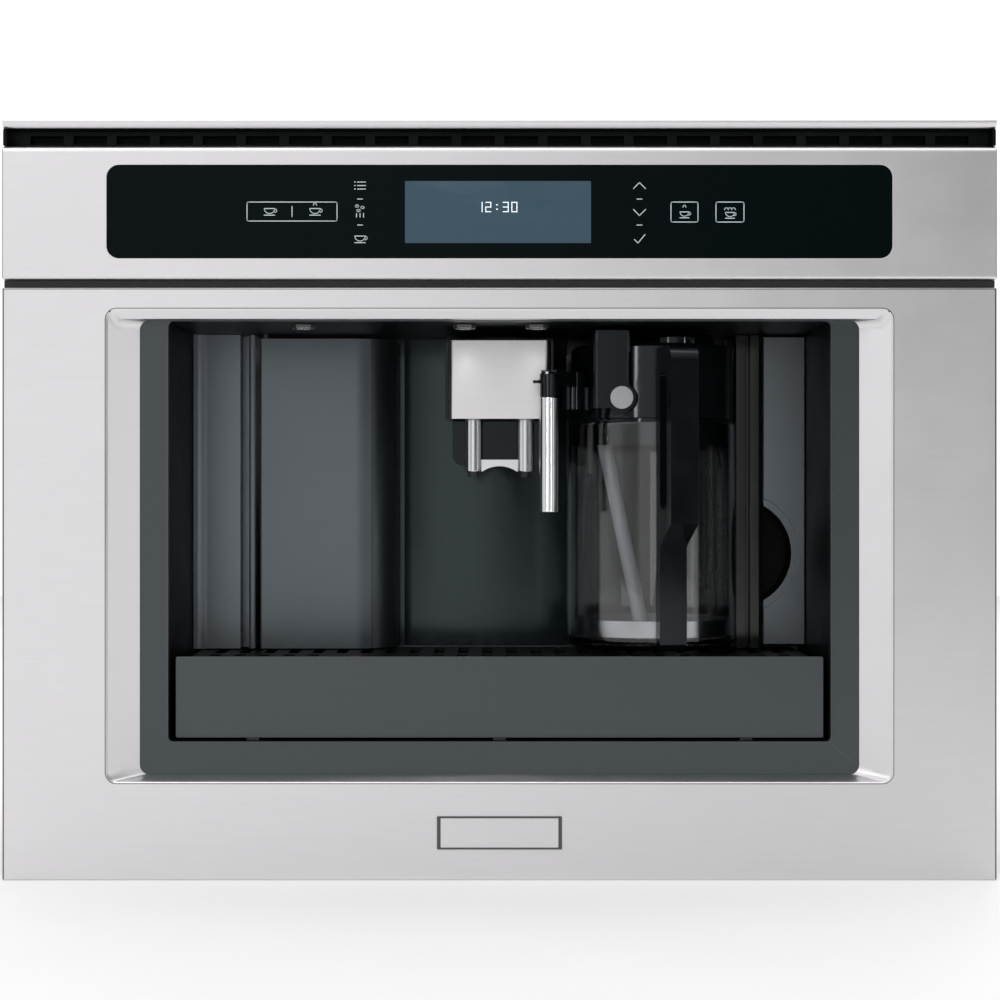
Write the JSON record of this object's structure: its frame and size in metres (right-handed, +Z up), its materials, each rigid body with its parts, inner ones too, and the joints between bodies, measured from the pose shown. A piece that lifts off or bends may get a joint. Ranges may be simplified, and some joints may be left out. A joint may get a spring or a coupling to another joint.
{
  "type": "built in coffee machine",
  "caption": "Built-in coffee machine: steel front with a lit niche, sliding spout, milk jug, drip tray, water tank and service door, carried on telescopic runners.",
  "frame": {"origin": "centre of the footprint, level with the bottom edge of the steel front", "axes": "+Z up, the steel front faces -Y, +X to the right as seen from the front"},
  "size_m": [0.595, 0.412, 0.455],
  "materials": {
    "brushed_steel": "brushed stainless steel, grain running across the front",
    "chrome": "bright chrome",
    "galvanised_sheet": "galvanised sheet steel",
    "satin_black_plastic": "finely textured dark plastic",
    "gloss_black_plastic": "polished black plastic",
    "dark_glass": "black-backed glass",
    "clear_plastic": "clear polished plastic",
    "milky_plastic": "translucent moulded plastic",
    "grey_plastic": "grey moulded plastic",
    "lamp_lens": "frosted lens in a bright rim",
    "cast_aluminium": "cast aluminium",
    "float_red": "red moulded plastic"
  },
  "bodies": {
    "cabinet_runners": {"runner_outer_left": "galvanised_sheet", "runner_outer_right": "galvanised_sheet"},
    "runner_middles": {"runner_middle_left": "galvanised_sheet", "runner_middle_right": "galvanised_sheet"},
    "machine": {"runner_inner_left": "galvanised_sheet", "runner_inner_right": "galvanised_sheet", "base_pan": "galvanised_sheet", "side_panel_left": "galvanised_sheet", "side_panel_right": "galvanised_sheet", "rear_panel": "galvanised_sheet", "top_cover": "galvanised_sheet", "front_bulkhead": "galvanised_sheet", "front_frame": "brushed_steel", "control_fascia": "brushed_steel", "control_glass": "dark_glass", "control_board": "satin_black_plastic", "top_trim": "brushed_steel", "vent_grille": "satin_black_plastic", "inner_bezel": "satin_black_plastic", "niche_ceiling": "gloss_black_plastic", "niche_lamp_left": "lamp_lens", "niche_lamp_middle": "lamp_lens", "niche_lamp_right": "lamp_lens", "niche_left_wall": "satin_black_plastic", "niche_right_wall": "satin_black_plastic", "niche_floor": "satin_black_plastic", "tank_bay_post": "gloss_black_plastic", "niche_back_panel": "gloss_black_plastic", "milk_bay_panel": "gloss_black_plastic", "steam_nozzle": "cast_aluminium", "bean_hopper": "satin_black_plastic", "grinder": "grey_plastic", "brew_unit": "grey_plastic", "grounds_container": "satin_black_plastic", "pump": "grey_plastic", "thermoblock": "cast_aluminium", "mains_inlet": "satin_black_plastic"},
    "service_door": {"service_door": "satin_black_plastic"},
    "drip_tray": {"drip_tray_body": "satin_black_plastic", "drip_tray_fascia": "satin_black_plastic", "cup_grille": "satin_black_plastic"},
    "tray_float": {"tray_float": "float_red"},
    "coffee_spout": {"spout_cover": "brushed_steel", "spout_body": "gloss_black_plastic", "spout_nozzles": "chrome"},
    "milk_carafe": {"milk_jug": "clear_plastic", "jug_lid": "gloss_black_plastic", "jug_handle": "gloss_black_plastic", "dip_tube": "milky_plastic"},
    "froth_knob": {"froth_knob": "gloss_black_plastic"},
    "milk_spout": {"milk_spout_arm": "gloss_black_plastic", "milk_spout_tube": "chrome"},
    "clean_button": {"clean_button": "grey_plastic"},
    "water_tank": {"tank_body": "milky_plastic", "tank_front": "satin_black_plastic"},
    "hopper_lid": {"hopper_lid": "satin_black_plastic"},
    "grind_knob": {"grind_knob": "grey_plastic"},
    "brew_carriage": {"brew_carriage": "satin_black_plastic"},
    "mains_switch": {"mains_switch": "satin_black_plastic"}
  },
  "joints": [
    {"name": "machine_slide", "type": "slide", "parent": "cabinet_runners", "child": "machine", "axis": [0, -1, 0], "range_m": [0, 0.35]},
    {"name": "runner_middle_slide", "type": "slide", "parent": "cabinet_runners", "child": "runner_middles", "axis": [0, -1, 0], "range_m": [0, 0.175]},
    {"name": "service_door_hinge", "type": "hinge", "parent": "machine", "child": "service_door", "pos_m": [-0.1534, -0.0858, 0.23], "axis": [0, 0, -1], "range_deg": [0, 100]},
    {"name": "drip_tray_slide", "type": "slide", "parent": "machine", "child": "drip_tray", "axis": [0, -1, 0], "range_m": [0, 0.17]},
    {"name": "tray_float_lift", "type": "slide", "parent": "drip_tray", "child": "tray_float", "axis": [0, 0, 1], "range_m": [0, 0.008]},
    {"name": "spout_height", "type": "slide", "parent": "machine", "child": "coffee_spout", "axis": [0, 0, -1], "range_m": [0, 0.04]},
    {"name": "milk_jug_pull", "type": "slide", "parent": "machine", "child": "milk_carafe", "axis": [0, -1, 0], "range_m": [0, 0.2]},
    {"name": "froth_knob_turn", "type": "hinge", "parent": "milk_carafe", "child": "froth_knob", "pos_m": [0.112, -0.114, 0.329], "axis": [0, 0, 1], "range_deg": [0, 90]},
    {"name": "milk_spout_swivel", "type": "hinge", "parent": "milk_carafe", "child": "milk_spout", "pos_m": [0.047, -0.136, 0.303], "axis": [0, 0, 1], "range_deg": [0, 40]},
    {"name": "clean_button_press", "type": "slide", "parent": "milk_carafe", "child": "clean_button", "axis": [0, 1, 0], "range_m": [0, 0.0025], "stiffness_N_per_m": 800},
    {"name": "water_tank_pull", "type": "slide", "parent": "machine", "child": "water_tank", "axis": [0, -1, 0], "range_m": [0, 0.4]},
    {"name": "hopper_lid_hinge", "type": "hinge", "parent": "machine", "child": "hopper_lid", "pos_m": [-0.1125, 0.101, 0.4439], "axis": [-1, 0, 0], "range_deg": [0, 95]},
    {"name": "grind_knob_turn", "type": "hinge", "parent": "machine", "child": "grind_knob", "pos_m": [-0.062, 0.064, 0.405], "axis": [0, 0, 1], "range_deg": [0, 270]},
    {"name": "brew_carriage_lift", "type": "slide", "parent": "machine", "child": "brew_carriage", "axis": [0, 0, 1], "range_m": [0, 0.06]},
    {"name": "mains_switch_rock", "type": "hinge", "parent": "machine", "child": "mains_switch", "pos_m": [-0.19, 0.199, 0.076], "axis": [1, 0, 0], "range_deg": [0, 12]}
  ],
  "couplings": [
    {"joint": "runner_middle_slide", "follows": "machine_slide", "ratio": 0.5}
  ]
}
